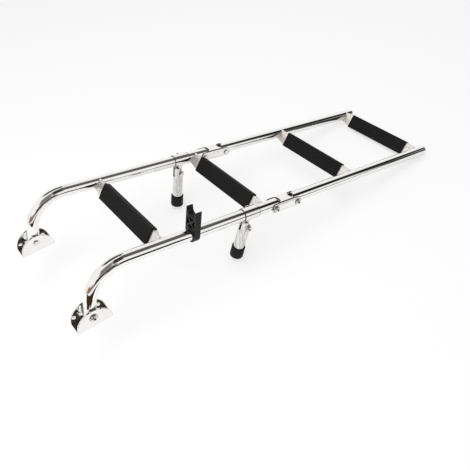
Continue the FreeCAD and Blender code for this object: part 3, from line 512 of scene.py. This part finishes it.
# an upright card on the floor between two points
def makeScreen(name, start, end, low, high, tone):
    run = Vector(end) - Vector(start)
    middle = (Vector(end) + Vector(start)) / 2
    form = bmesh.new()
    bmesh.ops.create_grid(form, x_segments=1, y_segments=1, size=0.5)
    bmesh.ops.scale(form, verts=form.verts, vec=(run.length, high - low, 1))
    bmesh.ops.rotate(form, verts=form.verts, cent=(0, 0, 0), matrix=Matrix.Rotation(math.radians(90), 3, "X"))
    bmesh.ops.rotate(form, verts=form.verts, cent=(0, 0, 0), matrix=Matrix.Rotation(math.atan2(run.y, run.x), 3, "Z"))
    bmesh.ops.translate(form, verts=form.verts, vec=(middle.x, middle.y, (low + high) / 2))
    finishCard(name, form, tone)


def finishCard(name, form, tone):
    mesh = bpy.data.meshes.new(name)
    form.to_mesh(mesh)
    form.free()
    card = bpy.data.objects.new(name, mesh)
    scene.collection.objects.link(card)
    for ray in ("camera", "diffuse", "transmission", "volume_scatter", "shadow"):
        setattr(card, "visible_" + ray, False)
    material, tree, shader = startMaterial(name, (0, 0, 0), 0.0, 1.0)
    glow = addNode(tree, "ShaderNodeEmission", 100, 200, Strength=1.0, Color=(*tone, 1))
    tree.links.new(glow.outputs[0], tree.nodes["Material Output"].inputs[0])
    mesh.materials.append(material)


def softStep(tree, source, start, stop, x, y):
    step = addNode(tree, "ShaderNodeMapRange", x, y, interpolation_type="SMOOTHSTEP")
    step.inputs["From Min"].default_value = start
    step.inputs["From Max"].default_value = stop
    tree.links.new(source, step.inputs["Value"])
    return step.outputs[0]


# a soft-edged patch of directions: each axis rises over its first pair and falls over its second
def skyPatch(tree, axes, bands, x, y):
    mask = None
    for row, (axis, rise, fall) in enumerate(bands):
        for start, stop in (rise, fall):
            if start is None:
                continue
            part = softStep(tree, axes.outputs[axis], start, stop, x + 200 * row, y)
            mask = part if mask is None else mathNode(tree, "MULTIPLY", x + 200 * row, y - 150, mask, part)
    return mask


def makeWorld():
    world = bpy.data.worlds.new("studio")
    scene.world = world
    world.use_nodes = True
    tree = world.node_tree
    link = tree.links.new
    sky = tree.nodes["Background"]
    sky.inputs["Strength"].default_value = 1.0
    place = addNode(tree, "ShaderNodeTexCoord", -1900, 0)
    axes = addNode(tree, "ShaderNodeSeparateXYZ", -1700, 0)
    link(place.outputs["Generated"], axes.inputs[0])
    # what polished steel sees: a white tent with a dark opening overhead, the dark room in front and warm wood beside it
    none = (None, None)
    patches = [
        ([("X", (-0.10, 0.10), none), ("Y", (-0.70, -0.50), (0.14, -0.10)), ("Z", (0.28, 0.36), none)], (0.012, 0.012, 0.013)),
        ([("X", (0.30, 0.40), (0.74, 0.64)), ("Y", (-0.66, -0.48), (0.34, 0.06)), ("Z", (0.40, 0.50), none)], (0.115, 0.110, 0.100)),
        ([("X", (-0.64, -0.50), (0.10, -0.10)), ("Y", none, (0.0, -0.22)), ("Z", (0.36, 0.46), none)], (0.21, 0.20, 0.19)),
        ([("X", (0.76, 0.80), none), ("Y", (-0.72, -0.62), (-0.30, -0.45)), ("Z", (-0.02, 0.02), (0.36, 0.30))], (0.15, 0.15, 0.15)),
        ([("X", (-0.72, -0.60), (0.22, 0.12)), ("Y", none, (-0.52, -0.66)), ("Z", none, (0.44, 0.32))], (0.025, 0.020, 0.015)),
        ([("X", none, (-0.60, -0.76)), ("Y", none, (0.28, 0.06)), ("Z", none, (0.32, 0.16))], (0.27, 0.17, 0.11)),
        ([("X", (-0.35, -0.20), (0.46, 0.38)), ("Y", (0.30, 0.42), none), ("Z", (0.42, 0.52), none)], (0.055, 0.046, 0.032)),
        ([("X", (-0.02, 0.06), (0.44, 0.34)), ("Y", (-0.90, -0.82), (-0.30, -0.40)), ("Z", (0.50, 0.60), none)], (0.045, 0.038, 0.028)),
    ]
    tone = (0.98, 0.98, 0.97, 1)
    source = None
    for row, (bands, colour) in enumerate(patches):
        mask = skyPatch(tree, axes, bands, -1400, 300 - 450 * row)
        blend = addNode(tree, "ShaderNodeMix", -600 + 150 * row, 0, data_type="RGBA")
        if source is None:
            blend.inputs["A"].default_value = tone
        else:
            link(source, blend.inputs["A"])
        blend.inputs["B"].default_value = (*colour, 1)
        link(mask, blend.inputs["Factor"])
        source = blend.outputs["Result"]
    path = addNode(tree, "ShaderNodeLightPath", -300, 450)
    lit = addNode(tree, "ShaderNodeMix", 0, 0, data_type="RGBA")
    lit.inputs["A"].default_value = (studio["worldTone"],) * 3 + (1,)
    link(path.outputs["Is Glossy Ray"], lit.inputs["Factor"])
    link(source, lit.inputs["B"])
    seen = addNode(tree, "ShaderNodeMix", 200, 0, data_type="RGBA")
    seen.inputs["B"].default_value = (1, 1, 1, 1)
    link(path.outputs["Is Camera Ray"], seen.inputs["Factor"])
    link(lit.outputs["Result"], seen.inputs["A"])
    link(seen.outputs["Result"], sky.inputs["Color"])


def makeLamp(name, place, target, size, power):
    lamp = bpy.data.lights.new(name, "AREA")
    lamp.shape = "RECTANGLE"
    lamp.size, lamp.size_y = size
    lamp.energy = power
    holder = bpy.data.objects.new(name, lamp)
    holder.location = place
    holder.rotation_euler = (Vector(target) - Vector(place)).to_track_quat("-Z", "Y").to_euler()
    holder.visible_glossy = False
    scene.collection.objects.link(holder)
    return holder


def makeCamera():
    lens = bpy.data.cameras.new("photoView")
    lens.sensor_width = 36.0
    lens.lens = 41.968
    lens.clip_start = 0.01
    camera = bpy.data.objects.new("photoView", lens)
    camera.location = (-0.136138, -0.732218, 0.700956)
    camera.rotation_euler = Euler([math.radians(angle) for angle in (47.4026, 3.0336, -37.9993)], "XYZ")
    scene.collection.objects.link(camera)
    scene.camera = camera


makeFloor()
makeCard("brownCardLeft", (-2.5, -0.52), (-0.12, -0.17), (0.050, 0.028, 0.012))
makeCard("brownCardMiddle", (-0.12, -0.52), (0.012, -0.262), (0.050, 0.028, 0.012))
makeCard("brownCardFront", (0.012, -3.0), (0.14, -0.58), (0.030, 0.020, 0.012))
makeCard("darkCardFront", (0.14, -3.0), (0.44, -0.45), (0.030, 0.030, 0.030))
makeCard("greyCardFront", (0.44, -1.10), (2.5, -0.42), (0.045, 0.045, 0.045))
makeScreen("darkScreenRight", (1.10, -0.42), (1.75, -0.62), floorHeight, 0.36, (0.05, 0.05, 0.05))
makeScreen("darkScreenFront", (0.25, -1.0), (0.66, -1.0), floorHeight, 0.14, (0.02, 0.02, 0.02))
makeWorld()
makeLamp("softBoxLeft", (-0.9, -0.5, 1.5), (0.4, 0, 0), (1.2, 0.9), 16)
makeLamp("softBoxTop", (0.3, 0.3, 1.9), (0.45, 0, 0), (1.6, 1.2), 9)
makeCamera()
scene.view_settings.view_transform = "Standard"
print("studio ready")
